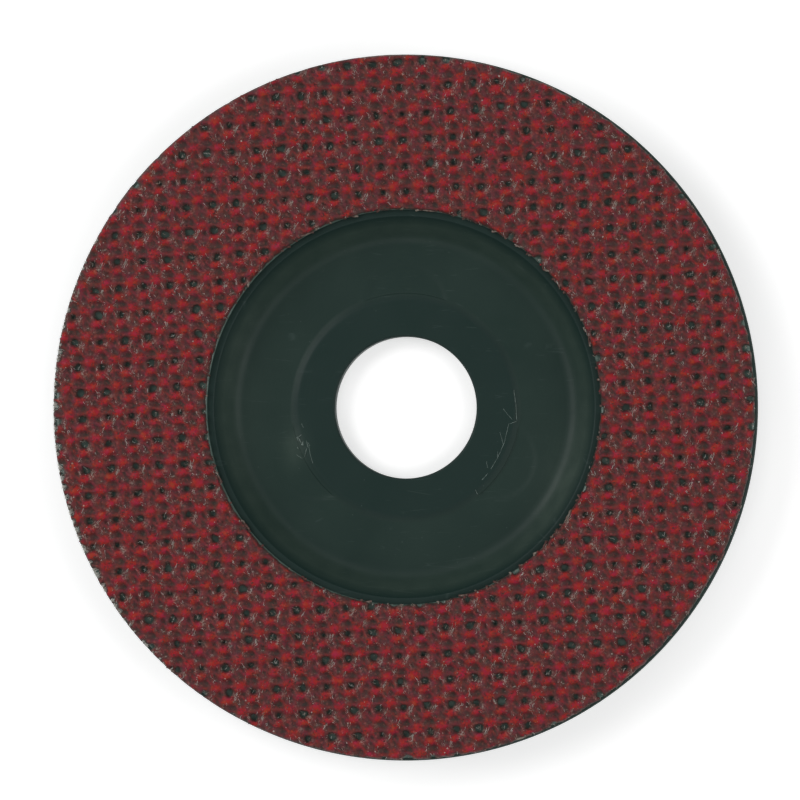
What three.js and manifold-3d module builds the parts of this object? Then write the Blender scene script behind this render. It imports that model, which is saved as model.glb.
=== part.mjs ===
// Mesh-faced carving disc for a 115 mm angle grinder: a dished plastic backing plate with a ring of
// abrasive-coated knitted net bonded to its front.
//
// Units are millimetres. The disc lies flat with its working face up (+Z). The origin is the centre of
// the arbor hole, on the flat back of the hub, which the grinder's inner flange bears on.

import * as THREE from 'three';
import { mergeVertices } from 'three/addons/utils/BufferGeometryUtils.js';
import Module from 'manifold-3d';

// Backing plate
const DISC_DIAMETER = 110;
const BORE_DIAMETER = 22.23;
const BORE_CHAMFER = 0.3;
const HUB_THICKNESS = 3.0;
const MOUTH_DIAMETER = 59.6;
const DISH_DEPTH = 4.4;
const WALL_RUN = 3.45;
const WALL_THICKNESS = 2.2;
const RING_THICKNESS = 2.2;
const RIM_ROUNDING = 0.5;
const MOUTH_ROUNDING = 0.6;
const FLOOR_ROUNDING = 1.0;
const BACK_SHOULDER_ROUNDING = 1.2;
const BACK_EDGE_ROUNDING = 0.8;

// Raised seat for the lock nut, round the bore
const SEAT_DIAMETER = 35;
const SEAT_HEIGHT = 0.4;

// Shallow round ejector marks that the seat overlaps
const MARK_COUNT = 3;
const MARK_DIAMETER = 13.6;
const MARK_DEPTH = 0.15;
const MARK_TO_WALL = 3.4;
const MARK_TO_SEAT = 0.3;

// Layers on the ring face, from the plate outwards
const BOND_THICKNESS = 0.3;
const NET_THICKNESS = 0.8;
const COAT_THICKNESS = 0.6;
const NET_FROM_RIM = 0.3;
const NET_FROM_MOUTH = 0.75;
const BOND_INSIDE_NET = 0.2;
const COAT_INSIDE_NET = 0.25;

// Fineness of round surfaces
const TURN_FACETS = 96;
const MARK_FACETS = 48;
const ARC_CHORDS = 3;

// Heights and radii that follow from the sizes above
const ringFrontHeight = HUB_THICKNESS + DISH_DEPTH;
const ringBackHeight = ringFrontHeight - RING_THICKNESS;
const netBottomHeight = ringFrontHeight + BOND_THICKNESS;
const netTopHeight = netBottomHeight + NET_THICKNESS;
const coatTopHeight = netTopHeight + COAT_THICKNESS;
const mouthRadius = MOUTH_DIAMETER / 2;
const floorRadius = mouthRadius - WALL_RUN;
const netInnerRadius = mouthRadius + NET_FROM_MOUTH;
const netOuterRadius = DISC_DIAMETER / 2 - NET_FROM_RIM;

const wasm = await Module();
wasm.setup();

// Turns a closed geometry into a solid that can be cut.
function toSolid(geometry) {
  const bare = geometry.clone();
  bare.deleteAttribute('normal');
  bare.deleteAttribute('uv');
  const merged = mergeVertices(bare);
  return new wasm.Manifold(new wasm.Mesh({
    numProp: 3,
    vertProperties: new Float32Array(merged.attributes.position.array),
    triVerts: new Uint32Array(merged.index.array),
  }));
}

// Turns a solid back into a geometry with normals.
function toGeometry(solid) {
  const cut = solid.getMesh();
  const geometry = new THREE.BufferGeometry();
  geometry.setAttribute('position', new THREE.BufferAttribute(cut.vertProperties, 3));
  geometry.setIndex(new THREE.BufferAttribute(cut.triVerts, 1));
  geometry.computeVertexNormals();
  return geometry;
}

// The points of one corner of an outline: the corner itself, or an arc tangent to both its edges.
function cornerPoints(before, corner, after) {
  const tip = new THREE.Vector2(corner.radius, corner.height);
  if (!corner.rounding) {
    return [tip];
  }
  const toBefore = new THREE.Vector2(before.radius, before.height).sub(tip).normalize();
  const toAfter = new THREE.Vector2(after.radius, after.height).sub(tip).normalize();
  const halfAngle = Math.acos(toBefore.dot(toAfter)) / 2;
  const middle = toBefore.clone().add(toAfter).normalize();
  const centre = middle.multiplyScalar(corner.rounding / Math.sin(halfAngle)).add(tip);
  const tangentLength = corner.rounding / Math.tan(halfAngle);
  const first = toBefore.multiplyScalar(tangentLength).add(tip).sub(centre);
  const last = toAfter.multiplyScalar(tangentLength).add(tip).sub(centre);
  const sweep = Math.PI - 2 * halfAngle;
  const points = [];
  for (let step = 0; step <= ARC_CHORDS; step += 1) {
    const turned = (sweep * step) / ARC_CHORDS;
    const arm = first.clone().multiplyScalar(Math.sin(sweep - turned));
    arm.addScaledVector(last, Math.sin(turned));
    points.push(arm.divideScalar(Math.sin(sweep)).add(centre));
  }
  return points;
}

// A ring turned about +Z from a closed outline of corners, given anticlockwise.
function turnedRing(corners) {
  const outline = corners.flatMap((corner, index) => {
    const before = corners.at(index - 1);
    const after = corners[(index + 1) % corners.length];
    return cornerPoints(before, corner, after);
  });
  outline.push(outline[0].clone());
  return new THREE.LatheGeometry(outline, TURN_FACETS).rotateX(Math.PI / 2);
}

// A flat ring with square edges.
function flatRing(innerRadius, outerRadius, bottom, top) {
  return turnedRing([
    { radius: innerRadius, height: bottom },
    { radius: outerRadius, height: bottom },
    { radius: outerRadius, height: top },
    { radius: innerRadius, height: top },
  ]);
}

// An upright cylinder standing on the height given.
function uprightCylinder(radius, bottom, height, facets) {
  const cylinder = new THREE.CylinderGeometry(radius, radius, height, facets);
  return cylinder.rotateX(Math.PI / 2).translate(0, 0, bottom + height / 2);
}

// The plate before its ejector marks: hub with bore and seat, slanted wall, flat ring.
function plateBlank() {
  const boreRadius = BORE_DIAMETER / 2;
  const seatRadius = SEAT_DIAMETER / 2;
  const seatTop = HUB_THICKNESS + SEAT_HEIGHT;
  const runPerHeight = WALL_RUN / DISH_DEPTH;
  const wallAcross = WALL_THICKNESS * Math.hypot(1, runPerHeight);
  const backWallRadius = (height) => floorRadius + wallAcross + (height - HUB_THICKNESS) * runPerHeight;
  return turnedRing([
    { radius: boreRadius, height: BORE_CHAMFER },
    { radius: boreRadius + BORE_CHAMFER, height: 0 },
    { radius: backWallRadius(0), height: 0, rounding: BACK_EDGE_ROUNDING },
    { radius: backWallRadius(ringBackHeight), height: ringBackHeight, rounding: BACK_SHOULDER_ROUNDING },
    { radius: DISC_DIAMETER / 2, height: ringBackHeight, rounding: RIM_ROUNDING },
    { radius: DISC_DIAMETER / 2, height: ringFrontHeight, rounding: RIM_ROUNDING },
    { radius: mouthRadius, height: ringFrontHeight, rounding: MOUTH_ROUNDING },
    { radius: floorRadius, height: HUB_THICKNESS, rounding: FLOOR_ROUNDING },
    { radius: seatRadius + SEAT_HEIGHT, height: HUB_THICKNESS },
    { radius: seatRadius, height: seatTop },
    { radius: boreRadius + BORE_CHAMFER, height: seatTop },
    { radius: boreRadius, height: seatTop - BORE_CHAMFER },
  ]);
}

// The plate with its shallow ejector marks, which stop just short of the seat.
function plateGeometry() {
  const markRadius = MARK_DIAMETER / 2;
  const markCentre = floorRadius - MARK_TO_WALL - markRadius;
  const markBottom = HUB_THICKNESS - MARK_DEPTH;
  const spared = uprightCylinder(
    SEAT_DIAMETER / 2 + SEAT_HEIGHT + MARK_TO_SEAT, markBottom - 1, DISH_DEPTH, TURN_FACETS,
  );
  let plate = toSolid(plateBlank());
  for (let index = 0; index < MARK_COUNT; index += 1) {
    const angle = Math.PI / 2 + (2 * Math.PI * index) / MARK_COUNT;
    const mark = uprightCylinder(markRadius, markBottom, DISH_DEPTH / 2, MARK_FACETS);
    mark.translate(markCentre * Math.cos(angle), markCentre * Math.sin(angle), 0);
    plate = plate.subtract(toSolid(mark).subtract(toSolid(spared)));
  }
  return toGeometry(plate);
}

// Materials, one for each piece
const glossyPlastic = new THREE.MeshStandardMaterial({ color: 0x24342f, roughness: 0.35, metalness: 0 });
const driedAdhesive = new THREE.MeshStandardMaterial({ color: 0x2a3b33, roughness: 0.25, metalness: 0 });
const paleFibre = new THREE.MeshStandardMaterial({ color: 0xb9afa6, roughness: 0.7, metalness: 0 });
const redGrit = new THREE.MeshStandardMaterial({ color: 0x8e2f30, roughness: 0.6, metalness: 0 });

// The assembly, from the plate outwards
const disc = new THREE.Group();

function addPiece(name, geometry, material) {
  const piece = new THREE.Mesh(geometry, material);
  piece.name = name;
  disc.add(piece);
}

addPiece('backing_plate', plateGeometry(), glossyPlastic);

addPiece('bond_layer', flatRing(
  netInnerRadius + BOND_INSIDE_NET, netOuterRadius - BOND_INSIDE_NET, ringFrontHeight, netBottomHeight,
), driedAdhesive);

addPiece('net_backing', flatRing(
  netInnerRadius, netOuterRadius, netBottomHeight, netTopHeight,
), paleFibre);

addPiece('grit_coat', flatRing(
  netInnerRadius + COAT_INSIDE_NET, netOuterRadius - COAT_INSIDE_NET, netTopHeight, coatTopHeight,
), redGrit);

export default disc;
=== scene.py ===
import math

import bpy
import numpy as np
from mathutils import Matrix, Vector


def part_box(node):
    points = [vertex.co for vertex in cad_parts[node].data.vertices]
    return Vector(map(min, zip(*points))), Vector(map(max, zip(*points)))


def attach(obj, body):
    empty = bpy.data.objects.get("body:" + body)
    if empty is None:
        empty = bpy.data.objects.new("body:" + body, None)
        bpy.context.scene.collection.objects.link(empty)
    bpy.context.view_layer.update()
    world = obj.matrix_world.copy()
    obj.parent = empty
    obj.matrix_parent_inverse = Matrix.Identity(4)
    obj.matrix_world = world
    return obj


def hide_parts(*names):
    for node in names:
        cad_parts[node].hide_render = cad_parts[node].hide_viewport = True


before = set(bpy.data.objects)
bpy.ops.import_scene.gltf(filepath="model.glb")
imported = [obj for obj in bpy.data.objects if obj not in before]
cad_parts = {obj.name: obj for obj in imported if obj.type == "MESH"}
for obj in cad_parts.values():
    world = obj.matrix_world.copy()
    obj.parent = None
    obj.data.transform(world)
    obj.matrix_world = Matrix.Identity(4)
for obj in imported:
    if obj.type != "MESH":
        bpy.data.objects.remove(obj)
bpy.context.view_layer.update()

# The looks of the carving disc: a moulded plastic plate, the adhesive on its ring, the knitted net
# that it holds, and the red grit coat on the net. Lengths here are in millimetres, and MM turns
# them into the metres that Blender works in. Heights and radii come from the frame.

MM = 0.001
rng = np.random.default_rng(7)

# ---------------------------------------------------------------- sizes from the frame


def heights(node):
    """A node's lowest and highest level, in millimetres."""
    low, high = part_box(node)
    return low[2] / MM, high[2] / MM


def radii(node):
    """A node's smallest and largest distance from the arbor axis, in millimetres."""
    spread = [math.hypot(v.co.x, v.co.y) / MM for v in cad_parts[node].data.vertices]
    return min(spread), max(spread)


PLATE_BOTTOM, RING_FACE = heights("backing_plate")
BORE_RADIUS, RIM_RADIUS = radii("backing_plate")
BOND_TOP = heights("bond_layer")[1]
BOND_INNER, BOND_OUTER = radii("bond_layer")
NET_INNER, NET_OUTER = radii("net_backing")
COAT_TOP = heights("grit_coat")[1]
COAT_INNER, COAT_OUTER = radii("grit_coat")

# ---------------------------------------------------------------- sizes of the plate

HUB_THICKNESS = 3.0
SEAT_RADIUS = 17.5
SEAT_HEIGHT = 0.4
SEAT_SLOPE = 0.55
MOUTH_RADIUS = 29.8
WALL_RUN = 3.45
WALL_THICKNESS = 2.2
RING_THICKNESS = 2.2
BORE_CHAMFER = 0.3
MARK_RADIUS = 6.8
MARK_CENTRE = 16.15
MARK_DEPTH = 0.15
MARK_SLOPE = 1.1
MARK_GHOST = 0.04
GHOST_REACH = 2.4
PLATE_FACETS = 480
FINE_STEP = 0.25
COARSE_STEP = 3.0
BACK_EDGE_ROUNDING = 0.8
BACK_SHOULDER_ROUNDING = 1.2
RIM_ROUNDING = 0.5
MOUTH_ROUNDING = 0.4
FLOOR_ROUNDING = 2.5
SEAT_ROUNDING = 1.5
BORE_ROUNDING = 0.1
BURR_RADIUS = 0.036
BURR_SIDES = 4

# Scratches on the seat and its edge, as lines of (x, y), and a patch of small scuffs.
SCRATCHES = [
    [(17.0, 2.7), (17.3, 0.4), (17.4, -2.2)],
    [(17.4, -2.2), (16.2, -2.6), (15.7, -4.6), (15.3, -5.9), (14.3, -8.1), (13.4, -9.7)],
    [(14.8, -3.9), (15.3, -5.8)],
    [(14.4, -6.9), (14.4, -8.0)],
    [(15.3, -0.2), (16.7, -1.9)],
    [(12.7, -8.5), (12.9, -9.5)],
    [(12.9, -10.3), (12.0, -11.4)],
    [(10.9, -12.9), (11.3, -13.6)],
    [(-15.2, -6.2), (-14.9, -7.6), (-14.6, -8.7)],
    [(-15.6, -5.2), (-15.3, -6.4)],
]
SCUFFS = 12
SCUFF_MIDDLE = (-16.6, -6.2)
SCUFF_SPREAD = (0.7, 1.3)
# Pale patches on the plate: middle, reach along x and y, share. The first is a rubbed scuff, and the other
# two are painted light where light falls on the lower right and left walls of the dish. The wall is painted
# a little lighter all over, as painted light; the seat is darker than the rest, and the lip of the dish is
# darker as painted shade.
SCUFFS_AND_LIT_PATCHES = [
    ((-17.4, -6.2), (1.9, 3.2), 0.60),
    ((25.0, -12.5), (5.0, 9.0), 0.42),
    ((-25.5, 0.0), (3.5, 14.0), 0.14),
]
WALL_PAINTED_LIGHT = 0.58
SEAT_AND_LIP_DARKENING = 0.85

# ---------------------------------------------------------------- the knit and its coat

WALE_PITCH, WALE_TURN = 3.852, math.radians(3.77)
COURSE_PITCH, COURSE_TURN = 4.005, math.radians(-85.0)
ACROSS = WALE_PITCH * np.array([math.cos(WALE_TURN), math.sin(WALE_TURN)])
DOWN = COURSE_PITCH * np.array([math.cos(COURSE_TURN), math.sin(COURSE_TURN)])
TO_CELL = np.linalg.inv(np.column_stack([ACROSS, DOWN]))
CELLS_OUT = 16
STEPS_PER_CELL = 16
COAT_MIDDLE = BOND_TOP + 0.3
COAT_UNDER = 0.28
WEB_HEIGHT = 0.40
RISE_SHARE = 0.80
EDGE_ROUNDING = 0.44
EDGE_STEP = 0.02
EDGE_PROBE = 0.01
EDGE_STRIDE = 0.12
NET_SHIFT = np.array([-0.12, 0.0])
RIM_SHIFT = np.array([-0.30, 0.05])
COAT_TO_RIM = 0.36
RIM_MARGIN = 0.10
KNIT_PHASE = np.array([0.13, 0.065])
NET_WAVER = 0.15
EDGE_RAGGED = 0.13
OPENING_UNEVEN = 0.50
FRAYED_SIDE = math.radians(190)
FRAYED_SPREAD = math.radians(46)
FILAMENT_POINTS = 4
FILAMENT_SIDES = 3
FILAMENT_RADIUS = 0.03
STEPS_PER_PLACE = 2
BUNDLE_STRANDS = 2
BUNDLE_RADIUS = 0.14
BUNDLE_SPREAD = 0.10
BUNDLE_TWIST = 1.3
CROSSING_RADIUS = 0.19
YARN_SIDES = 4
GRAIN_TRIES = 90000
GRAINS = 17000
GRAIN_SIZE = (0.08, 0.20)
CLEAR_SHARE = 0.05
TUFT_SPACING = 1.35
TUFT_FILAMENTS = 60

# Places in the unit cell are (across, down), each from 0 to 1, counted from the arbor axis.
# A knot is a leaning lump of coated loops: place, half length, half breadth, crown.
KNOTS = [
    ((0.81, 0.89), 1.36, 0.90, 0.80),
    ((0.34, 0.36), 1.34, 1.04, 0.79),
]
KNOT_TURN = math.radians(21)
KNOT_AXES = np.array([
    (math.cos(KNOT_TURN), math.sin(KNOT_TURN)),
    (-math.sin(KNOT_TURN), math.cos(KNOT_TURN)),
])
# A strand is a coated yarn between two places: start, end, half width, crown.
STRANDS = [
    ((0.48, 0.37), (0.92, 0.39), 0.52, 0.36),
    ((0.90, 0.39), (1.24, 0.35), 0.52, 0.36),
    ((0.52, 0.44), (0.64, 0.80), 0.30, 0.40),
    ((0.24, 0.50), (0.06, 0.86), 0.36, 0.34),
    ((0.33, 0.48), (0.24, 0.84), 0.40, 0.34),
    ((0.24, 0.84), (0.30, 1.18), 0.36, 0.28),
    ((0.42, 0.76), (0.60, 1.00), 0.30, 0.38),
    ((0.68, 0.98), (0.52, 1.26), 0.32, 0.42),
    ((1.00, 0.98), (1.20, 1.24), 0.34, 0.42),
]
# An opening through the coat, over a mesh of the net: place, radius, how much that varies.
OPENINGS = [
    ((0.85, 0.57), 0.42, 0.26),
]
# A hollow, where the coat is thin: place, radius, depth.
HOLLOWS = [
    ((0.47, 0.68), 0.42, 0.22),
    ((0.33, 0.97), 0.50, 0.16),
    ((0.95, 0.20), 0.48, 0.34),
    ((0.85, 0.57), 0.75, 0.10),
]
# Where the yarn shows through a thin coat: place, reach across, reach down, share.
BARE_PATCHES = [
    ((0.06, 0.78), 0.42, 0.50, 0.95),
    ((0.00, 0.64), 0.35, 0.45, 0.45),
    ((0.63, 0.20), 0.34, 0.42, 0.65),
    ((0.64, 0.64), 0.30, 0.42, 0.55),
    ((0.33, 0.07), 0.30, 0.30, 0.35),
]
# Where bare filaments have worked out of a yarn: start, end, how many at most.
FRAYS = [
    ((0.22, 0.54), (0.06, 0.88), 20),
    ((0.66, 0.04), (0.58, 0.30), 12),
    ((0.54, 0.48), (0.64, 0.78), 10),
    ((0.26, 0.90), (0.32, 1.14), 8),
    ((0.98, 0.92), (1.14, 1.08), 8),
    ((0.72, 0.50), (0.98, 0.62), 3),
    ((0.94, 0.46), (0.80, 0.74), 4),
]
# Yarn routes through one repeat: (across, down, height above the adhesive).
WARP_ROUTES = [
    [(0.25, 0.36, 0.22), (0.12, 0.60, 0.44), (0.05, 0.76, 0.56), (0.00, 0.95, 0.26), (0.12, 1.12, 0.36)],
    [(0.45, 0.36, 0.24), (0.60, 0.56, 0.50), (0.64, 0.68, 0.50), (0.67, 0.93, 0.24), (0.63, 1.20, 0.58)],
]
WEFT_ROUTES = [
    [(0.00, 0.97, 0.36), (0.33, 1.06, 0.54), (0.66, 0.97, 0.36), (0.84, 0.92, 0.22)],
    [(0.35, 0.36, 0.36), (0.64, 0.40, 0.24), (0.92, 0.39, 0.24), (1.12, 0.37, 0.26)],
]


def smooth_step(low, high, value):
    """0 below low, 1 above high, and a smooth rise between them."""
    t = np.clip((value - low) / (high - low), 0, 1)
    return t * t * (3 - 2 * t)


def soft_noise(points, size, salt):
    """Smooth noise from -1 to 1 over the plane, with lumps about size across."""
    table = np.random.default_rng(salt).uniform(-1, 1, (128, 128))
    spot = points / size + 1000
    whole = np.floor(spot).astype(int)
    part = spot - whole
    part = part * part * (3 - 2 * part)
    i, j = whole[:, 0], whole[:, 1]

    def corner(a, b):
        return table[(i + a) % 128, (j + b) % 128]

    near = corner(0, 0) * (1 - part[:, 0]) + corner(1, 0) * part[:, 0]
    far = corner(0, 1) * (1 - part[:, 0]) + corner(1, 1) * part[:, 0]
    return near * (1 - part[:, 1]) + far * part[:, 1]


def from_nearest(points, place):
    """Each point's offset from the nearest repeat of a place in the cell, and which repeat that is."""
    cells = points @ TO_CELL.T - np.array(place)
    repeat = np.rint(cells)
    cells = cells - repeat
    return cells[:, :1] * ACROSS + cells[:, 1:] * DOWN, repeat.astype(int)


def lot(repeat, salt):
    """A number from -1 to 1 for each repeat of a feature, always the same one."""
    table = np.random.default_rng(salt).uniform(-1, 1, (64, 64))
    return table[repeat[:, 0] % 64, repeat[:, 1] % 64]


def waver(points):
    """The points as they lie in a net that isn't quite regular."""
    shift = [soft_noise(points, 2.6, 11) + soft_noise(points, 9.0, 12), soft_noise(points, 2.6, 13)]
    origin = NET_SHIFT + KNIT_PHASE[0] * ACROSS + KNIT_PHASE[1] * DOWN
    return points - origin + NET_WAVER * np.column_stack(shift)


def tufts():
    """Where cut yarn ends stand bare at the net's rim, on one side: each middle and size."""
    spots = []
    for turn in np.arange(-FRAYED_SPREAD, FRAYED_SPREAD, TUFT_SPACING / NET_OUTER):
        weight = 1 - (turn / FRAYED_SPREAD) ** 2
        angle = FRAYED_SIDE + turn + rng.normal(0, 0.006)
        size = rng.uniform(0.14, 0.66) * weight
        reach = NET_OUTER - rng.uniform(0.0, 0.40)
        spots.append((RIM_SHIFT + reach * np.array([math.cos(angle), math.sin(angle)]), size))
    return spots


TUFTS = tufts()


def coat_room(points):
    """How far inside the coat each point is: positive on the coat, negative over an opening."""
    spots = waver(points)
    reach = np.hypot(points[:, 0] - NET_SHIFT[0], points[:, 1] - NET_SHIFT[1])
    ragged = EDGE_RAGGED * soft_noise(points, 0.8, 21)
    rim_reach = np.hypot(points[:, 0] - RIM_SHIFT[0], points[:, 1] - RIM_SHIFT[1])
    room = np.minimum(reach - COAT_INNER, COAT_OUTER + COAT_TO_RIM - rim_reach) + ragged
    room = np.minimum(room, RIM_RADIUS - RIM_MARGIN - np.hypot(points[:, 0], points[:, 1]))
    for index, (place, radius, varies) in enumerate(OPENINGS):
        offset, repeat = from_nearest(spots, place)
        size = radius * (1 + varies * lot(repeat, 30 + index))
        uneven = 1 + OPENING_UNEVEN * soft_noise(points, 0.62, 24)
        room = np.minimum(room, np.hypot(offset[:, 0], offset[:, 1]) - size * uneven)
    for middle, size in TUFTS:
        room = np.minimum(room, np.hypot(*(points - middle).T) - size)
    return room


def coat_bareness(points):
    """How much of the yarn's own colour shows through the coat, from 0 to 1."""
    spots = waver(points)
    bare = np.zeros(len(points))
    for index, (place, across, down, share) in enumerate(BARE_PATCHES):
        offset, repeat = from_nearest(spots, place)
        away = (offset @ ACROSS / WALE_PITCH / across) ** 2 + (offset @ DOWN / COURSE_PITCH / down) ** 2
        bare += share * (0.75 + 0.6 * lot(repeat, 40 + index)) * np.exp(-away)
    return np.clip(bare, 0, 1)


def coat_rise(points):
    """How high the coat's lumps and strands stand over its web."""
    spots = waver(points)
    total = np.zeros(len(points))
    for index, (place, wide, tall, crown) in enumerate(KNOTS):
        offset, repeat = from_nearest(spots, place)
        grow = 1 + 0.12 * lot(repeat, 50 + index)
        away = np.hypot(offset @ KNOT_AXES[0] / wide, offset @ KNOT_AXES[1] / tall) / grow
        top = crown * (1 + 0.10 * lot(repeat, 60 + index))
        total += (top * np.clip(1 - away ** 2, 0, 1) ** 0.8) ** 4
    for index, (start, end, half_width, crown) in enumerate(STRANDS):
        middle = (np.array(start) + np.array(end)) / 2
        half = (np.array(end) - np.array(start)) / 2
        half = half[0] * ACROSS + half[1] * DOWN
        offset, repeat = from_nearest(spots, middle)
        along = np.clip(offset @ half / (half @ half), -1, 1)
        away = np.linalg.norm(offset - along[:, None] * half, axis=1) / half_width
        top = crown * (1 + 0.18 * lot(repeat, 70 + index))
        total += (top * np.clip(1 - away ** 2, 0, 1) ** 0.6) ** 4
    rise = total ** 0.25
    for place, radius, depth in HOLLOWS:
        offset, _ = from_nearest(spots, place)
        rise -= depth * np.exp(-(offset ** 2).sum(axis=1) / radius ** 2) * (rise < 0.5)
    return rise


def coat_levels(points):
    """The coat's upper and lower surface over each point."""
    share = np.clip(coat_room(points) / EDGE_ROUNDING, 0, 1)
    edge = np.sqrt(1 - (1 - share) ** 2)
    grainy = 0.08 * soft_noise(points, 0.50, 81) + 0.04 * soft_noise(points, 0.23, 82)
    rise = WEB_HEIGHT + coat_rise(points) * RISE_SHARE + grainy
    return COAT_MIDDLE + rise * edge, COAT_MIDDLE - COAT_UNDER * edge


# ---------------------------------------------------------------- meshes


def make_piece(name, points, faces, material, smooth=True):
    """A mesh object from points in millimetres, with its faces turned outwards."""
    mesh = bpy.data.meshes.new(name)
    mesh.from_pydata((np.asarray(points) * MM).tolist(), [], faces)
    if signed_volume(mesh) < 0:
        mesh.flip_normals()
    mesh.polygons.foreach_set("use_smooth", [smooth] * len(mesh.polygons))
    mesh.update()
    piece = bpy.data.objects.new(name, mesh)
    bpy.context.scene.collection.objects.link(piece)
    mesh.materials.append(material)
    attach(piece, "root")
    return piece


def signed_volume(mesh):
    """Positive if the mesh's faces look outwards."""
    mesh.calc_loop_triangles()
    corners = np.zeros(len(mesh.loop_triangles) * 3, np.int32)
    mesh.loop_triangles.foreach_get("vertices", corners)
    places = np.zeros(len(mesh.vertices) * 3, np.float32)
    mesh.vertices.foreach_get("co", places)
    a, b, c = np.moveaxis(places.reshape(-1, 3)[corners].reshape(-1, 3, 3), 1, 0)
    return float(np.einsum("ij,ij->i", a, np.cross(b, c)).sum())


def turned(outline, facets):
    """A ring turned about the arbor axis from a closed outline of (radius, height)."""
    angles = np.arange(facets) * 2 * math.pi / facets
    outline = np.asarray(outline)
    points = np.empty((facets, len(outline), 3))
    points[..., 0] = np.cos(angles)[:, None] * outline[:, 0]
    points[..., 1] = np.sin(angles)[:, None] * outline[:, 0]
    points[..., 2] = outline[:, 1]
    number = np.arange(facets * len(outline)).reshape(facets, len(outline))
    ahead = np.roll(number, -1, axis=0)
    quads = np.stack([number, ahead, np.roll(ahead, -1, axis=1), np.roll(number, -1, axis=1)], axis=-1)
    return points.reshape(-1, 3), quads.reshape(-1, 4).tolist()


def rounded(corners, chords=8):
    """An outline with an arc in place of each corner (radius, height, rounding)."""
    points = []
    for index, (x, y, rounding) in enumerate(corners):
        tip = np.array([x, y])
        if not rounding:
            points.append(tip)
            continue
        before = np.array(corners[index - 1][:2]) - tip
        after = np.array(corners[(index + 1) % len(corners)][:2]) - tip
        before, after = before / np.linalg.norm(before), after / np.linalg.norm(after)
        half = math.acos(float(before @ after)) / 2
        middle = (before + after) / np.linalg.norm(before + after)
        centre = tip + middle * rounding / math.sin(half)
        first = tip + before * rounding / math.tan(half) - centre
        last = tip + after * rounding / math.tan(half) - centre
        sweep = math.pi - 2 * half
        for step in range(chords + 1):
            turn = sweep * step / chords
            arm = first * math.sin(sweep - turn) + last * math.sin(turn)
            points.append(centre + arm / math.sin(sweep))
    return points


def subdivided(outline, longest):
    """An outline with its long edges cut into equal parts no longer than longest(point)."""
    points = []
    for index, start in enumerate(outline):
        end = outline[(index + 1) % len(outline)]
        middle = (start + end) / 2
        parts = max(1, math.ceil(np.linalg.norm(end - start) / longest(middle)))
        points += [start + (end - start) * part / parts for part in range(parts)]
    return points


def tubes(lines, radius, sides):
    """Closed tubes along lines of points, all in one mesh: its points and faces."""
    points, faces, count = [], [], 0
    for length in sorted({len(line) for line in lines}):
        line = np.array([line for line in lines if len(line) == length])
        ahead = np.gradient(line, axis=1)
        side = np.cross(ahead, (0, 0, 1.0))
        up = np.cross(side, ahead)
        side /= np.linalg.norm(side, axis=2)[..., None]
        up /= np.linalg.norm(up, axis=2)[..., None]
        turns = math.pi / 2 + np.arange(sides)[:, None] * 2 * math.pi / sides
        ring = side[:, :, None] * np.cos(turns) + up[:, :, None] * np.sin(turns)
        points.append((line[:, :, None] + radius * ring).reshape(-1, 3))
        number = count + np.arange(line.shape[0] * length * sides).reshape(-1, length, sides)
        around = np.roll(number, -1, axis=2)
        quads = np.stack([number[:, :-1], around[:, :-1], around[:, 1:], number[:, 1:]], axis=-1)
        faces += quads.reshape(-1, 4).tolist()
        faces += number[:, 0, ::-1].tolist() + number[:, -1].tolist()
        count += number.size
    return np.concatenate(points), faces


def mapped_flat(piece):
    """Gives a ring-shaped piece a map seen from above, with its underside small in the hole."""
    mesh = piece.data
    normals = np.zeros(len(mesh.polygons) * 3, np.float32)
    mesh.polygons.foreach_get("normal", normals)
    sizes = np.zeros(len(mesh.polygons), np.int32)
    mesh.polygons.foreach_get("loop_total", sizes)
    corners = np.zeros(len(mesh.loops), np.int32)
    mesh.loops.foreach_get("vertex_index", corners)
    places = np.zeros(len(mesh.vertices) * 3, np.float32)
    mesh.vertices.foreach_get("co", places)
    scale = np.where(np.repeat(normals[2::3] >= 0, sizes), 0.5, 0.27) / (RIM_RADIUS * MM)
    spots = 0.5 + places.reshape(-1, 3)[corners, :2] * scale[:, None]
    layer = mesh.uv_layers.new(name="OFBake")
    layer.data.foreach_set("uv", spots.astype(np.float32).reshape(-1))


# ---------------------------------------------------------------- materials


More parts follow.
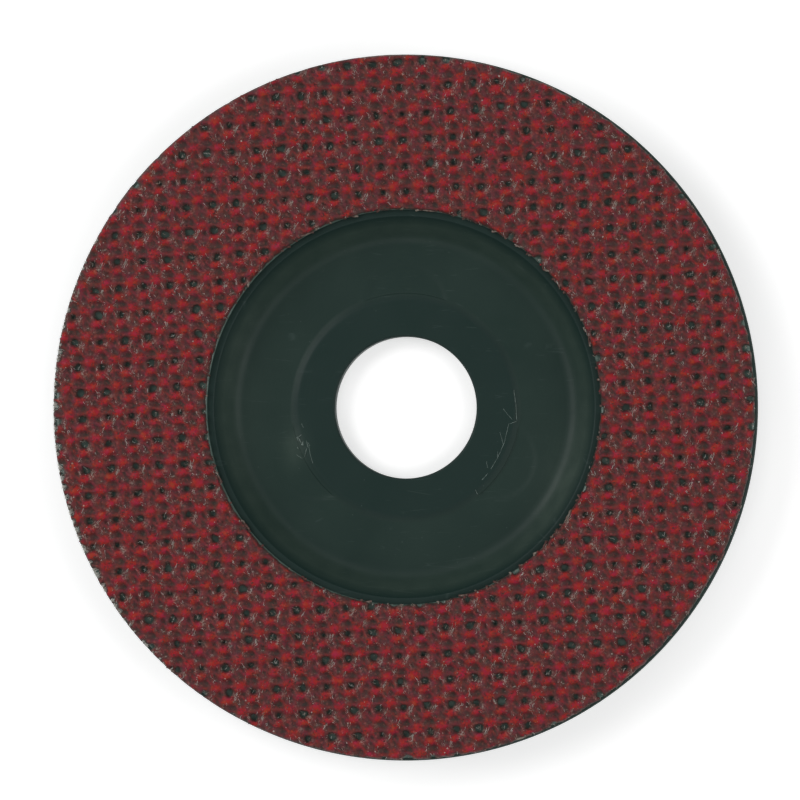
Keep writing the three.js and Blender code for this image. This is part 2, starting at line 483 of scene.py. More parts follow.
class Shader:
    """A material with one Principled shader, and short calls to add nodes to it."""

    def __init__(self, name, **settings):
        self.material = bpy.data.materials.new(name)
        self.material.use_nodes = True
        self.tree = self.material.node_tree
        self.surface = self.tree.nodes["Principled BSDF"]
        for socket, value in settings.items():
            self.surface.inputs[socket.replace("_", " ")].default_value = value
        self.place = self.add("ShaderNodeTexCoord").outputs["Object"]

    def add(self, kind, **settings):
        node = self.tree.nodes.new(kind)
        for setting, value in settings.items():
            setattr(node, setting, value)
        return node

    def link(self, source, socket):
        self.tree.links.new(source, socket)

    def noise(self, per_mm, detail=3.0, stretch=None):
        """Noise with per_mm lumps to the millimetre, stretched if asked: its value."""
        node = self.add("ShaderNodeTexNoise")
        node.inputs["Scale"].default_value = per_mm / MM
        node.inputs["Detail"].default_value = detail
        self.link(self.turned_place(stretch, 0.0), node.inputs["Vector"])
        return node.outputs["Fac"]

    def cells(self, per_mm, feature="F1", stretch=None, turn=0.0):
        """Voronoi cells, per_mm to the millimetre: the node."""
        node = self.add("ShaderNodeTexVoronoi", feature=feature)
        node.inputs["Scale"].default_value = per_mm / MM
        self.link(self.turned_place(stretch, turn), node.inputs["Vector"])
        return node

    def turned_place(self, stretch, turn):
        """The object's own coordinates, turned about Z and stretched."""
        if stretch is None:
            return self.place
        node = self.add("ShaderNodeMapping")
        node.inputs["Scale"].default_value = stretch
        node.inputs["Rotation"].default_value = (0, 0, turn)
        self.link(self.place, node.inputs["Vector"])
        return node.outputs["Vector"]

    def ramp(self, value, stops):
        """A colour or grey for each value: stops are (position, colour)."""
        node = self.add("ShaderNodeValToRGB")
        while len(node.color_ramp.elements) < len(stops):
            node.color_ramp.elements.new(0.5)
        for element, (position, colour) in zip(node.color_ramp.elements, stops):
            element.position = position
            element.color = (*colour, 1) if hasattr(colour, "__len__") else (colour, colour, colour, 1)
        self.link(value, node.inputs["Fac"])
        return node.outputs["Color"]

    def math(self, operation, a, b):
        node = self.add("ShaderNodeMath", operation=operation)
        for socket, value in zip(node.inputs, (a, b)):
            if isinstance(value, (int, float)):
                socket.default_value = value
            else:
                self.link(value, socket)
        return node.outputs["Value"]

    def mix(self, share, a, b):
        """Colour a turned towards colour b by share."""
        node = self.add("ShaderNodeMix", data_type="RGBA")
        for socket, value in zip((node.inputs[0], node.inputs[6], node.inputs[7]), (share, a, b)):
            if isinstance(value, bpy.types.NodeSocket):
                self.link(value, socket)
            elif hasattr(value, "__len__"):
                socket.default_value = (*value, 1)
            else:
                socket.default_value = value
        return node.outputs[2]

    def bump(self, height, depth_mm, strength=1.0, under=None):
        """A bump of the depth given, on top of another one if under is given."""
        node = self.add("ShaderNodeBump")
        node.inputs["Strength"].default_value = strength
        node.inputs["Distance"].default_value = depth_mm * MM
        self.link(height, node.inputs["Height"])
        if under is not None:
            self.link(under, node.inputs["Normal"])
        return node.outputs["Normal"]

    def height_share(self, low, high):
        """0 at height low and 1 at height high, both in millimetres."""
        split = self.add("ShaderNodeSeparateXYZ")
        self.link(self.place, split.inputs["Vector"])
        node = self.add("ShaderNodeMapRange")
        node.inputs["From Min"].default_value = low * MM
        node.inputs["From Max"].default_value = high * MM
        self.link(split.outputs["Z"], node.inputs["Value"])
        return node.outputs["Result"]

    def finish(self, colour=None, roughness=None, normal=None):
        for socket, source in (("Base Color", colour), ("Roughness", roughness), ("Normal", normal)):
            if source is not None:
                self.link(source, self.surface.inputs[socket])
        return self.material


def plastic_material():
    """Green-black moulded plastic: satin, faintly clouded, with hairlines and turning marks."""
    shader = Shader("moulded_plastic", Roughness=0.40)
    shader.surface.inputs["Specular IOR Level"].default_value = 0.25
    cloud = shader.noise(0.10, detail=5)
    colour = shader.ramp(cloud, [(0.32, (0.0105, 0.0275, 0.0225)), (0.68, (0.0145, 0.0335, 0.0270))])
    # Darker on the seat, and painted shade at the lip of the dish.
    darker_seat_and_lip_shade = shader.add("ShaderNodeAttribute", attribute_name="darker_seat_and_lip_shade").outputs["Fac"]
    colour = shader.mix(darker_seat_and_lip_shade, colour, (0.0075, 0.0240, 0.0205))
    # Painted light: the wall of the dish is painted lighter, and two patches on it lighter still where
    # light falls; one more patch is a real rubbed scuff.
    patchy = shader.ramp(shader.noise(0.35, detail=6), [(0.30, 0.55), (0.75, 1.0)])
    scuffs_and_painted_light = shader.add("ShaderNodeAttribute", attribute_name="scuffs_and_painted_light").outputs["Fac"]
    colour = shader.mix(shader.math("MULTIPLY", scuffs_and_painted_light, patchy), colour, (0.0480, 0.0730, 0.0590))
    rough = shader.ramp(shader.noise(0.16, detail=6), [(0.35, 0.48), (0.75, 0.60)])
    hairlines = None
    for turn, length in ((0.5, 7.0), (1.9, 9.0), (2.7, 6.0)):
        lines = shader.cells(0.035, "DISTANCE_TO_EDGE", stretch=(1, length, 1), turn=turn)
        thin = shader.ramp(lines.outputs["Distance"], [(0.0, 1.0), (0.012, 0.0)])
        patch = shader.ramp(shader.noise(0.20 + 0.05 * turn, detail=3), [(0.58, 0.0), (0.66, 1.0)])
        line = shader.math("MULTIPLY", thin, patch)
        hairlines = line if hairlines is None else shader.math("MAXIMUM", hairlines, line)
    colour = shader.mix(shader.math("MULTIPLY", hairlines, 0.14), colour, (0.10, 0.14, 0.13))
    dust = shader.cells(0.45)
    speck = shader.ramp(dust.outputs["Distance"], [(0.025, 0.4), (0.045, 0.0)])
    colour = shader.mix(speck, colour, (0.09, 0.12, 0.11))
    skin = shader.bump(shader.noise(1.6, detail=2), 0.008, 0.7)
    turning = shader.add("ShaderNodeTexWave", wave_type="RINGS", rings_direction="Z")
    turning.inputs["Scale"].default_value = 0.45 / MM
    turning.inputs["Distortion"].default_value = 0.6
    shader.link(shader.place, turning.inputs["Vector"])
    ringed = shader.bump(turning.outputs["Fac"], 0.006, 0.7, under=skin)
    return shader.finish(colour, rough, shader.bump(hairlines, -0.006, 1.0, under=ringed))


def burr_material():
    """Plastic raised by a scratch: paler and rougher than the skin round it."""
    shader = Shader("scratched_plastic", Roughness=0.6)
    colour = shader.ramp(shader.noise(2.0), [(0.30, (0.050, 0.080, 0.070)), (0.60, (0.210, 0.270, 0.245))])
    return shader.finish(colour)


def adhesive_material():
    """Dried adhesive, coloured as though the plate's dark green showed through it, and painted much lighter
    than the plate as painted light in the coat's openings.
    """
    shader = Shader("dried_adhesive", Roughness=0.25)
    # Painted light: the film is far lighter than the plate's green, so that the openings in the coat don't
    # read as shaded.
    colour = shader.ramp(shader.noise(0.8), [(0.35, (0.078, 0.122, 0.103)), (0.70, (0.118, 0.170, 0.146))])
    return shader.finish(colour, None, shader.bump(shader.noise(1.6), 0.06, 0.8))


def fibre_material():
    """Pale polyester filaments, stained with red resin for most of their length."""
    shader = Shader("net_fibre", Roughness=0.6)
    stain = shader.ramp(shader.noise(0.9, detail=4), [(0.50, 0.0), (0.62, 1.0)])
    stained = shader.ramp(shader.noise(3.0), [(0.35, (0.065, 0.028, 0.022)), (0.70, (0.150, 0.060, 0.050))])
    pale = shader.ramp(shader.noise(3.5), [(0.30, (0.150, 0.120, 0.095)), (0.70, (0.300, 0.260, 0.220))])
    colour = shader.mix(stain, stained, pale)
    threads = shader.noise(5.0, detail=2, stretch=(3, 1, 1))
    return shader.finish(colour, None, shader.bump(threads, 0.05, 0.7))


def filament_material():
    """Single bare filaments, pale and a little shiny, some of them stained."""
    shader = Shader("bare_filament", Roughness=0.5)
    pale = shader.add("ShaderNodeAttribute", attribute_name="pale")
    streak = shader.math("MULTIPLY", shader.noise(1.8, detail=4), 0.5)
    colour = shader.ramp(shader.math("ADD", pale.outputs["Fac"], streak), [
        (0.25, (0.120, 0.060, 0.050)),
        (0.60, (0.280, 0.220, 0.180)),
        (0.90, (0.450, 0.400, 0.340)),
        (1.00, (0.640, 0.640, 0.600)),
    ])
    return shader.finish(colour)


def coat_material():
    """Red resin full of grain: bright on the lumps, dark and brown in the hollows, as painted light on the
    lumps and painted shade in the hollows.
    """
    shader = Shader("red_grit_coat", Roughness=0.6)
    shader.surface.inputs["Specular IOR Level"].default_value = 0.22
    level = shader.height_share(COAT_MIDDLE, COAT_TOP)
    blotch = shader.math("MULTIPLY", shader.noise(1.6, detail=2), 0.30)
    fleck = shader.math("MULTIPLY", shader.noise(3.6, detail=3), 0.46)
    # The colour follows the coat's height: painted light on the lumps, painted shade in the hollows.
    mottled = shader.math("ADD", shader.math("MULTIPLY", level, 0.66), shader.math("ADD", blotch, fleck))
    colour = shader.ramp(mottled, [
        (0.44, (0.056, 0.040, 0.034)),
        (0.60, (0.090, 0.030, 0.029)),
        (0.75, (0.128, 0.024, 0.026)),
        (0.87, (0.192, 0.017, 0.020)),
        (0.98, (0.320, 0.013, 0.017)),
    ])
    varied = shader.add("ShaderNodeHueSaturation")
    shift = shader.math("ADD", shader.math("MULTIPLY", shader.noise(0.9, detail=3), 0.07), 0.465)
    shader.link(shift, varied.inputs["Hue"])
    shader.link(colour, varied.inputs["Color"])
    colour = varied.outputs["Color"]
    bare = shader.add("ShaderNodeAttribute", attribute_name="bare")
    threads = shader.ramp(shader.noise(3.6, detail=3), [(0.46, 0.0), (0.60, 1.0)])
    shown = shader.math("MULTIPLY", bare.outputs["Fac"], threads)
    colour = shader.mix(shown, colour, (0.285, 0.220, 0.190))
    # Painted shade: dark grey-brown patches, laid only in the hollows of the coat.
    patches_and_painted_shading = shader.ramp(shader.noise(1.1, detail=4), [(0.55, 0.0), (0.72, 0.6)])
    low = shader.ramp(level, [(0.45, 1.0), (0.75, 0.0)])
    colour = shader.mix(shader.math("MULTIPLY", patches_and_painted_shading, low), colour, (0.036, 0.040, 0.030))
    grains = shader.cells(3.4)
    pick = shader.add("ShaderNodeSeparateColor")
    shader.link(grains.outputs["Color"], pick.inputs["Color"])
    glint = shader.ramp(pick.outputs["Red"], [(0.88, 0.0), (0.98, 0.30)])
    colour = shader.mix(glint, colour, (0.34, 0.10, 0.08))
    rough = shader.ramp(pick.outputs["Green"], [(0.0, 0.5), (1.0, 0.75)])
    grit = shader.bump(grains.outputs["Distance"], 0.08, 0.8)
    return shader.finish(colour, rough, shader.bump(shader.noise(7.0), 0.03, 0.5, under=grit))


def grain_material():
    """Loose-faced grain tips: mostly red with resin, a few clear and pale."""
    shader = Shader("grain_tips", Roughness=0.40)
    shader.surface.inputs["Specular IOR Level"].default_value = 0.35
    tint = shader.add("ShaderNodeAttribute", attribute_name="tint")
    return shader.finish(shader.ramp(tint.outputs["Fac"], [
        (0.00, (0.045, 0.025, 0.023)),
        (0.35, (0.100, 0.024, 0.024)),
        (0.88, (0.360, 0.018, 0.022)),
        (0.94, (0.260, 0.120, 0.100)),
        (1.00, (0.400, 0.350, 0.310)),
    ]))


# ---------------------------------------------------------------- pieces


def mark_depth(x, y):
    """How deep the three ejector marks are at a point of the dish's floor or its seat."""
    deepest = np.zeros_like(x)
    reach = np.hypot(x, y)
    seat_edge = SEAT_RADIUS + SEAT_HEIGHT
    ghost = MARK_GHOST * smooth_step(SEAT_RADIUS - GHOST_REACH, SEAT_RADIUS, reach)
    depth = np.where(reach < seat_edge, ghost, MARK_DEPTH)
    for index in range(3):
        angle = math.radians(90 + 120 * index)
        away = np.hypot(x - MARK_CENTRE * math.cos(angle), y - MARK_CENTRE * math.sin(angle))
        inside = 1 - smooth_step(MARK_RADIUS - MARK_SLOPE, MARK_RADIUS, away)
        deepest = np.maximum(deepest, inside)
    return depth * deepest


def plate_piece():
    """The moulded plate, with its bore, seat, dish and ring."""
    floor_radius = MOUTH_RADIUS - WALL_RUN
    dish_depth = RING_FACE - HUB_THICKNESS
    ring_back = RING_FACE - RING_THICKNESS
    seat_top = HUB_THICKNESS + SEAT_HEIGHT
    slope = WALL_RUN / dish_depth
    thick = WALL_THICKNESS * math.hypot(1, slope)

    def back_radius(height):
        return floor_radius + thick + (height - HUB_THICKNESS) * slope

    outline = rounded([
        (BORE_RADIUS, BORE_CHAMFER, 0),
        (BORE_RADIUS + BORE_CHAMFER, PLATE_BOTTOM, 0),
        (back_radius(0), PLATE_BOTTOM, BACK_EDGE_ROUNDING),
        (back_radius(ring_back), ring_back, BACK_SHOULDER_ROUNDING),
        (RIM_RADIUS, ring_back, RIM_ROUNDING),
        (RIM_RADIUS, RING_FACE, RIM_ROUNDING),
        (MOUTH_RADIUS, RING_FACE, MOUTH_ROUNDING),
        (floor_radius, HUB_THICKNESS, FLOOR_ROUNDING),
        (SEAT_RADIUS + SEAT_SLOPE, HUB_THICKNESS, SEAT_ROUNDING),
        (SEAT_RADIUS - SEAT_SLOPE, seat_top, SEAT_ROUNDING),
        (BORE_RADIUS + BORE_CHAMFER, seat_top, BORE_ROUNDING),
        (BORE_RADIUS, seat_top - BORE_CHAMFER, BORE_ROUNDING),
    ])

    def longest(spot):
        on_floor = BORE_RADIUS + 1 < spot[0] < floor_radius and abs(spot[1] - HUB_THICKNESS) < 0.5
        return FINE_STEP if on_floor else COARSE_STEP

    points, faces = turned(subdivided(outline, longest), PLATE_FACETS)
    x, y, z = points.T
    reach = np.hypot(x, y)
    marked = (z > HUB_THICKNESS - 0.01) & (z < seat_top + 0.01) & (reach > BORE_RADIUS + 0.5)
    points[marked, 2] -= mark_depth(x[marked], y[marked])
    piece = make_piece("moulded_plate", points, faces, plastic_material())
    dish = (z > HUB_THICKNESS - 0.5) & (reach < MOUTH_RADIUS + 1.5)
    lip = smooth_step(MOUTH_RADIUS - 0.9, MOUTH_RADIUS - 0.1, reach)
    # Painted light: the wall of the dish is lighter all over and in two lit patches; the first patch in the
    # list is a real rubbed scuff.
    patches_and_painted_shading = WALL_PAINTED_LIGHT * smooth_step(floor_radius - 0.8, floor_radius + 1.4, reach)
    for (across, down), (wide, tall), share in SCUFFS_AND_LIT_PATCHES:
        patches_and_painted_shading += share * np.exp(-((x - across) / wide) ** 2 - ((y - down) / tall) ** 2)
    scuffs_and_painted_light = piece.data.attributes.new("scuffs_and_painted_light", "FLOAT", "POINT")
    scuffs_and_painted_light.data.foreach_set("value", patches_and_painted_shading * dish * (1 - lip))
    # Darker on the seat, and painted shade at the lip of the dish.
    seat = 1 - smooth_step(SEAT_RADIUS - SEAT_SLOPE, SEAT_RADIUS + SEAT_SLOPE, reach)
    darker_seat_and_lip_shade = piece.data.attributes.new("darker_seat_and_lip_shade", "FLOAT", "POINT")
    darker_seat_and_lip_shade.data.foreach_set("value", SEAT_AND_LIP_DARKENING * np.maximum(seat, lip) * dish)
    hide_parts("backing_plate")


def scratch_piece():
    """The thin burrs that scratches have raised on the seat and across its edge."""
    lines = [np.array(scratch, float) for scratch in SCRATCHES]
    for _ in range(SCUFFS):
        middle = rng.normal(SCUFF_MIDDLE, SCUFF_SPREAD)
        turn = rng.normal(1.9, 0.5)
        half = rng.uniform(0.2, 0.7) * np.array([math.cos(turn), math.sin(turn)])
        lines.append(np.array([middle - half, middle + 0.15 * rng.normal(size=2), middle + half]))
    burrs = []
    for line in lines:
        steps = np.linspace(0, len(line) - 1, 9 * (len(line) - 1) + 1)
        flat = np.column_stack([np.interp(steps, range(len(line)), line[:, axis]) for axis in (0, 1)])
        flat += 0.05 * np.column_stack([soft_noise(flat, 0.5, 95), soft_noise(flat, 0.5, 96)])
        reach = np.hypot(flat[:, 0], flat[:, 1])
        level = HUB_THICKNESS + np.clip(SEAT_RADIUS + SEAT_HEIGHT - reach, 0, SEAT_HEIGHT)
        level -= mark_depth(flat[:, 0], flat[:, 1])
        broken = 0.02 * np.abs(soft_noise(flat, 0.8, 97)) - 0.022
        burrs.append(np.column_stack([flat, level + broken]))
    points, faces = tubes(burrs, BURR_RADIUS, BURR_SIDES)
    piece = make_piece("scratch_burrs", points, faces, burr_material())


def bond_piece():
    """The adhesive film, which has dried a little uneven."""
    steps, facets = 90, 720
    reach = np.linspace(BOND_INNER, BOND_OUTER, steps)
    top = np.full(steps, BOND_TOP - 0.1)
    top[[0, -1]] = RING_FACE + 0.02
    outline = [np.array([r, z]) for r, z in zip(reach, top)]
    outline += [np.array([BOND_OUTER, RING_FACE]), np.array([BOND_INNER, RING_FACE])]
    points, faces = turned(outline, facets)
    flat = points[:, :2]
    upper = points[:, 2] > RING_FACE + 0.1
    lift = 0.06 * soft_noise(flat, 1.3, 91) + 0.03 * soft_noise(flat, 0.6, 92)
    points[upper, 2] += lift[upper]
    piece = make_piece("adhesive_film", points, faces, adhesive_material())
    mapped_flat(piece)
    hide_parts("bond_layer")


def coat_piece():
    """The red coat: a crust with an opening over each mesh of the net, closed all round."""
    count = 2 * CELLS_OUT * STEPS_PER_CELL + 1
    steps = np.linspace(-CELLS_OUT, CELLS_OUT, count)
    across, down = np.meshgrid(steps, steps, indexing="ij")
    spots = across.reshape(-1, 1) * ACROSS + down.reshape(-1, 1) * DOWN
    number = np.arange(count * count).reshape(count, count)
    squares = np.stack([number[:-1, :-1], number[:-1, 1:], number[1:, 1:], number[1:, :-1]], axis=-1)
    middles = spots[squares.reshape(-1, 4)].mean(axis=1)
    kept = (coat_room(middles) > 0).reshape(count - 1, count - 1)
    kept = without_corner_touches(kept)
    edges = open_edges(kept, number)
    squares = squares[kept]
    uses = np.bincount(squares.reshape(-1), minlength=count * count)
    border = (uses > 0) & (uses < 4)
    spots[border] = drawn_to_edge(spots[border])
    upper, lower = coat_levels(spots)
    upper[border] = COAT_MIDDLE + EDGE_STEP
    lower[border] = COAT_MIDDLE - EDGE_STEP
    used = uses > 0
    total = int(used.sum())
    order = np.cumsum(used) - 1
    squares, edges = order[squares], order[edges]
    points = np.concatenate([
        np.column_stack([spots[used], np.minimum(upper[used], COAT_TOP)]),
        np.column_stack([spots[used], lower[used]]),
    ])
    start, end = edges.T
    walls = np.column_stack([end, start, start + total, end + total])
    faces = squares.tolist() + (squares[:, ::-1] + total).tolist() + walls.tolist()
    piece = make_piece("grit_crust", points, faces, coat_material())
    bare = piece.data.attributes.new("bare", "FLOAT", "POINT")
    bare.data.foreach_set("value", coat_bareness(points[:, :2]))
    mapped_flat(piece)
    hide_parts("grit_coat")


def open_edges(kept, number):
    """The edges round the kept squares, each as the two numbers of its ends in the squares' order."""
    wide = np.pad(kept, 1)
    here = wide[1:-1, 1:-1]
    corners = [number[:-1, :-1], number[:-1, 1:], number[1:, 1:], number[1:, :-1]]
    beside = [wide[:-2, 1:-1], wide[1:-1, 2:], wide[2:, 1:-1], wide[1:-1, :-2]]
    edges = []
    for side in range(4):
        open_side = here & ~beside[side]
        edges.append(np.column_stack([corners[side][open_side], corners[(side + 1) % 4][open_side]]))
    return np.concatenate(edges)


def without_corner_touches(kept):
    """The kept squares, less one of each two that touch only at a corner."""
    kept = kept.copy()
    while True:
        a, b, c, d = kept[:-1, :-1], kept[:-1, 1:], kept[1:, :-1], kept[1:, 1:]
        falling = a & d & ~b & ~c
        rising = b & c & ~a & ~d
        if not falling.any() and not rising.any():
            return kept
        kept[:-1, :-1][falling] = False
        kept[:-1, 1:][rising] = False


def drawn_to_edge(spots):
    """Points moved onto the line where the coat ends."""
    for _ in range(3):
        room = coat_room(spots)
        slope = np.column_stack([
            coat_room(spots + (EDGE_PROBE, 0)) - room,
            coat_room(spots + (0, EDGE_PROBE)) - room,
        ]) / EDGE_PROBE
        steep = np.maximum((slope ** 2).sum(axis=1), 0.25)
        move = -(room / steep)[:, None] * slope
        far = np.maximum(np.linalg.norm(move, axis=1) / EDGE_STRIDE, 1)
        spots = spots + move / far[:, None]
    return spots


def grain_piece():
    """Single grains that stand out of the coat, thickest on its lumps."""
    tried = rng.uniform(-COAT_OUTER, COAT_OUTER, (GRAIN_TRIES, 2))
    room = coat_room(tried)
    rise = coat_rise(tried)
    keep = (room > 0.06) & (rng.random(len(tried)) < 0.25 + 0.75 * smooth_step(0.2, 0.8, rise))
    spots, rise = tried[keep][:GRAINS], rise[keep][:GRAINS]
    size = rng.uniform(*GRAIN_SIZE, len(spots))
    level = np.minimum(coat_levels(spots)[0], COAT_TOP - 0.8 * size)
    centres = np.column_stack([spots, level - 0.15 * size])
    corners = np.array([(1, 0, 0), (-1, 0, 0), (0, 1, 0), (0, -1, 0), (0, 0, 1), (0, 0, -1)], float)
    sides = [(0, 2, 4), (2, 1, 4), (1, 3, 4), (3, 0, 4), (2, 0, 5), (1, 2, 5), (3, 1, 5), (0, 3, 5)]
    shape = corners * rng.uniform(0.6, 1.25, (len(spots), 6, 1)) * size[:, None, None]
    turns, _ = np.linalg.qr(rng.normal(size=(len(spots), 3, 3)))
    turns[np.linalg.det(turns) < 0, :, 0] *= -1
    points = np.einsum("nij,nkj->nki", turns, shape) + centres[:, None]
    points[..., 2] = np.minimum(points[..., 2], COAT_TOP)
    faces = np.array(sides)[None] + 6 * np.arange(len(spots))[:, None, None]
    points, faces = points.reshape(-1, 3), faces.reshape(-1, 3).tolist()
    piece = make_piece("grain_tips", points, faces, grain_material(), smooth=False)
    tint = piece.data.attributes.new("tint", "FLOAT", "POINT")
    # Grains on the lumps get lighter red tints and those in the hollows darker ones, as painted light and
    # shade.
    shade = rng.random(len(spots)) * (0.5 + 0.4 * smooth_step(0.1, 0.8, rise))
    clear = rng.random(len(spots)) < CLEAR_SHARE
    shade[clear] = rng.uniform(0.93, 1.0, clear.sum())
    tint.data.foreach_set("value", np.repeat(shade, 6))
    mapped_flat(piece)


def curve_through(places, steps):
    """A smooth line through places, with a number of steps from each to the next."""
    places = np.asarray(places, float)
    before, after = places[:-3], places[3:]
    start, end = places[1:-2], places[2:-1]
    t = (np.arange(steps) / steps)[None, :, None]
    start, end, before, after = (p[:, None] for p in (start, end, before, after))
    slope_in, slope_out = (end - before) / 2, (after - start) / 2
    line = (
        (2 * t ** 3 - 3 * t ** 2 + 1) * start
        + (t ** 3 - 2 * t ** 2 + t) * slope_in
        + (3 * t ** 2 - 2 * t ** 3) * end
        + (t ** 3 - t ** 2) * slope_out
    )
    return line.reshape(-1, places.shape[1])


def inside_runs(line, inner, outer):
    """The stretches of a line that lie between two radii."""
    reach = np.hypot(line[:, 0] - NET_SHIFT[0], line[:, 1] - NET_SHIFT[1])
    inside = (reach > inner) & (reach < outer)
    cuts = np.flatnonzero(np.diff(inside.astype(int))) + 1
    runs = np.split(line, cuts)
    flags = np.split(inside, cuts)
    return [run for run, flag in zip(runs, flags) if flag[0] and len(run) > 3]


def yarn_lines(route, repeats_down, steps):
    """The lines of one route over the whole net, as it wavers, cut to the ring."""
    lines = []
    step = np.array([0, 1, 0.0]) if repeats_down else np.array([1, 0, 0.0])
    beside = np.array([1, 0, 0.0]) if repeats_down else np.array([0, 1, 0.0])
    span = range(-CELLS_OUT, CELLS_OUT + 1)
    for row in span:
        places = np.concatenate([np.array(route) + beside * row + step * turn for turn in span])
        line = curve_through(places, steps)
        flat = line[:, :1] * ACROSS + line[:, 1:2] * DOWN
        flat = 2 * flat - waver(flat)
        level = BOND_TOP + line[:, 2]
        lines += inside_runs(np.column_stack([flat, level]), NET_INNER, NET_OUTER)
    return lines


def filament_piece():
    """Bare filaments that have worked out of the yarns where the coat is thin."""
    span = np.arange(-CELLS_OUT, CELLS_OUT + 1)
    across, down = (part.reshape(-1) for part in np.meshgrid(span, span))
    lines = []
    arch = np.sin(np.linspace(0, math.pi, FILAMENT_POINTS))
    for start, end, most in FRAYS:
        count = rng.integers(0, most + 1, len(across)) * (rng.random(len(across)) < 0.8)
        repeat = np.repeat(np.column_stack([across, down]), count, axis=0)
        ends = []
        for place in (start, end):
            cells = repeat + place
            ends.append(cells[:, :1] * ACROSS + cells[:, 1:] * DOWN + rng.normal(0, 0.20, (len(cells), 2)))
        shares = np.sort(rng.uniform(-0.1, 1.1, (len(repeat), 2)), axis=1)
        shares[:, 1] = np.clip(shares[:, 1], shares[:, 0] + 0.14, shares[:, 0] + 0.34)
        t = shares[:, :1] + (shares[:, 1:] - shares[:, :1]) * np.linspace(0, 1, FILAMENT_POINTS)
        flat = ends[0][:, None] + (ends[1] - ends[0])[:, None] * t[..., None]
        flat = flat + rng.normal(0, 0.10, (len(repeat), 1, 2)) * arch[:, None]
        spots = flat.reshape(-1, 2)
        spots = 2 * spots - waver(spots)
        level = np.maximum(coat_levels(spots)[0], COAT_MIDDLE + 0.25).reshape(-1, FILAMENT_POINTS)
        lift = rng.uniform(0.0, 0.09, (len(repeat), 1)) * arch - 0.012
        level = np.minimum(level + lift, COAT_TOP - 0.03)
        lines.append(np.concatenate([spots.reshape(-1, FILAMENT_POINTS, 2), level[..., None]], axis=2))
    pale = [rng.uniform(0, 0.9, len(run)) for run in lines]
    lines.append(tuft_lines())
    pale.append(rng.uniform(0.6, 1.0, len(lines[-1])))
    lines, pale = np.concatenate(lines), np.concatenate(pale)
    reach = np.hypot(lines[..., 0] - NET_SHIFT[0], lines[..., 1])
    inside = (reach.min(axis=1) > NET_INNER) & (reach.max(axis=1) < NET_OUTER + 0.14)
    points, faces = tubes(list(lines[inside]), FILAMENT_RADIUS, FILAMENT_SIDES)
    piece = make_piece("bare_filaments", points, faces, filament_material())
    paleness = piece.data.attributes.new("pale", "FLOAT", "POINT")
    paleness.data.foreach_set("value", np.repeat(pale[inside], FILAMENT_POINTS * FILAMENT_SIDES))
    mapped_flat(piece)


def tuft_lines():
    """The cut filaments of the tufts, which lean outwards over the rim."""
    lines = []
    t = np.linspace(-0.5, 0.5, FILAMENT_POINTS)[:, None]
    for middle, size in TUFTS:
        count = int(TUFT_FILAMENTS * size ** 1.5 / 0.35)
        turn = math.atan2(middle[1], middle[0]) + rng.normal(0, 0.5, count)
        start = middle + rng.normal(0, 0.45 * size + 0.02, (count, 2))
        run = rng.uniform(0.15, 0.35, (count, 1)) * np.column_stack([np.cos(turn), np.sin(turn)])
        flat = start[:, None] + run[:, None] * t
        level = COAT_MIDDLE + rng.uniform(0.0, 0.7, (count, 1)) + 0.05 * np.cos(3 * t[:, 0])
        lines.append(np.concatenate([flat, level[..., None]], axis=2))
    return np.concatenate(lines)


def net_piece():
    """The knitted net: filament bundles that run down it, and yarns that run across it."""
    bundles = []
    for route in WARP_ROUTES:
        for line in yarn_lines(route, True, STEPS_PER_PLACE):
            for strand in range(BUNDLE_STRANDS):
                twist = np.arange(len(line)) * BUNDLE_TWIST + strand * math.pi
                lean = np.column_stack([np.cos(twist), np.zeros(len(line)), np.sin(twist)])
                bundles.append(line + BUNDLE_SPREAD * lean)
    crossings = []
    for route in WEFT_ROUTES:
        crossings += yarn_lines(route, False, STEPS_PER_PLACE)
    fine_points, fine_faces = tubes(bundles, BUNDLE_RADIUS, YARN_SIDES)
    thick_points, thick_faces = tubes(crossings, CROSSING_RADIUS, YARN_SIDES)
    shifted = [[corner + len(fine_points) for corner in face] for face in thick_faces]
    points = np.concatenate([fine_points, thick_points])
    points[:, 2] = np.clip(points[:, 2], BOND_TOP - 0.02, COAT_TOP)
    piece = make_piece("knitted_net", points, fine_faces + shifted, fibre_material())
    mapped_flat(piece)
    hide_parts("net_backing")


# ---------------------------------------------------------------- stage, lights and camera

CAMERA_LEAN_RIGHT = math.radians(4.5)
CAMERA_LEAN_DOWN = math.radians(1.2)
LENS, SENSOR = 200.0, 36.0
VIEW_ACROSS = 124.5
DISC_RIGHT_OF_MIDDLE = 0.55
DISC_BELOW_MIDDLE = 1.08
SOFTBOX_SIZE = 0.56
SOFTBOX_DISTANCE = 0.8


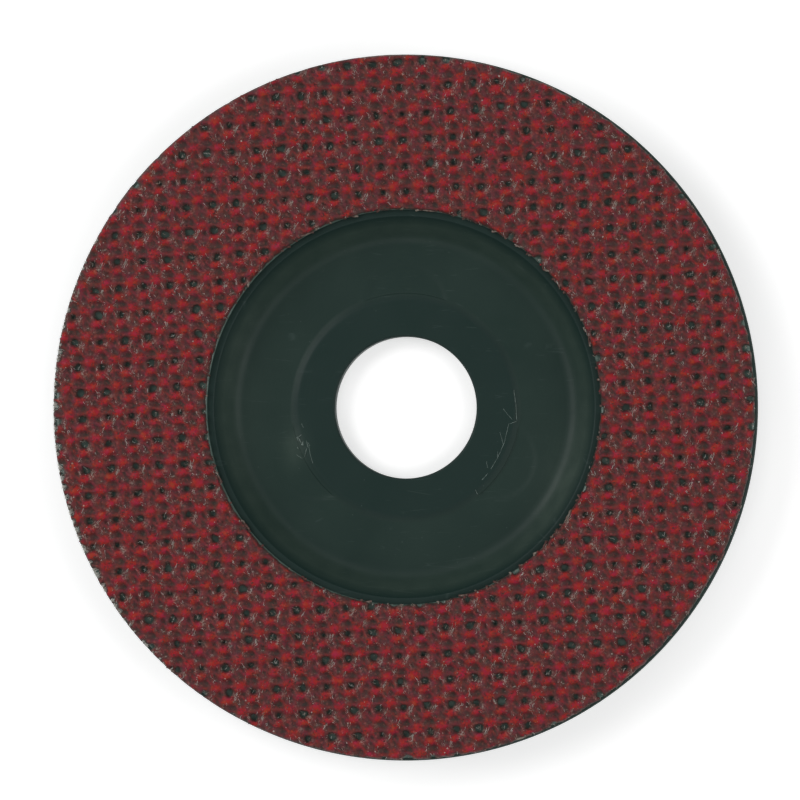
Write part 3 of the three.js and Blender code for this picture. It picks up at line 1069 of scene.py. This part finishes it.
def camera():
    """A long lens over the disc, a little to its right, with +Y up in the picture."""
    lens = bpy.data.cameras.new("camera")
    lens.lens, lens.sensor_width = LENS, SENSOR
    lens.clip_start, lens.clip_end = 0.01, 10
    eye = bpy.data.objects.new("camera", lens)
    bpy.context.scene.collection.objects.link(eye)
    back = Vector((math.tan(CAMERA_LEAN_RIGHT), -math.tan(CAMERA_LEAN_DOWN), 1)).normalized()
    right = Vector((0, 1, 0)).cross(back).normalized()
    up = back.cross(right)
    centre = Vector((0, 0, RING_FACE)) * MM
    target = centre - right * DISC_RIGHT_OF_MIDDLE * MM + up * DISC_BELOW_MIDDLE * MM
    distance = VIEW_ACROSS * MM * LENS / SENSOR
    eye.rotation_mode = "QUATERNION"
    eye.rotation_quaternion = Matrix((right, up, back)).transposed().to_quaternion()
    eye.location = target + back * distance
    bpy.context.scene.camera = eye


def softbox(name, azimuth, elevation, watts):
    """A square light that looks at the disc from a direction given in degrees."""
    lamp = bpy.data.lights.new(name, "AREA")
    lamp.energy, lamp.size = watts, SOFTBOX_SIZE
    box = bpy.data.objects.new(name, lamp)
    bpy.context.scene.collection.objects.link(box)
    a, e = math.radians(azimuth), math.radians(elevation)
    out = Vector((math.cos(a) * math.cos(e), math.sin(a) * math.cos(e), math.sin(e)))
    box.location = out * SOFTBOX_DISTANCE
    box.rotation_mode = "QUATERNION"
    box.rotation_quaternion = out.to_track_quat("Z", "Y")


def floor():
    """A plain pale floor."""
    half = 3.0
    mesh = bpy.data.meshes.new("floor")
    corners = [(-half, -half, 0), (half, -half, 0), (half, half, 0), (-half, half, 0)]
    mesh.from_pydata(corners, [], [(0, 1, 2, 3)])
    ground = bpy.data.objects.new("floor", mesh)
    bpy.context.scene.collection.objects.link(ground)
    shader = Shader("pale_floor", Roughness=0.9, Base_Color=(0.86, 0.86, 0.86, 1))
    shader.surface.inputs["Emission Color"].default_value = (1, 1, 1, 1)
    shader.surface.inputs["Emission Strength"].default_value = 0.45
    mesh.materials.append(shader.material)


def lights():
    """Broad soft light from both sides, a little stronger from the left, and a dim sky."""
    softbox("left", 160, 38, 3.5)
    softbox("right", -12, 38, 2.3)
    softbox("top", 75, 46, 1.1)
    softbox("bottom", 262, 46, 1.3)
    world = bpy.data.worlds.new("sky")
    world.use_nodes = True
    world.node_tree.nodes["Background"].inputs["Color"].default_value = (1, 1, 1, 1)
    world.node_tree.nodes["Background"].inputs["Strength"].default_value = 0.12
    bpy.context.scene.world = world
    bpy.context.scene.view_settings.view_transform = "Standard"


camera()
lights()
floor()
plate_piece()
bond_piece()
net_piece()
coat_piece()
grain_piece()
filament_piece()
scratch_piece()
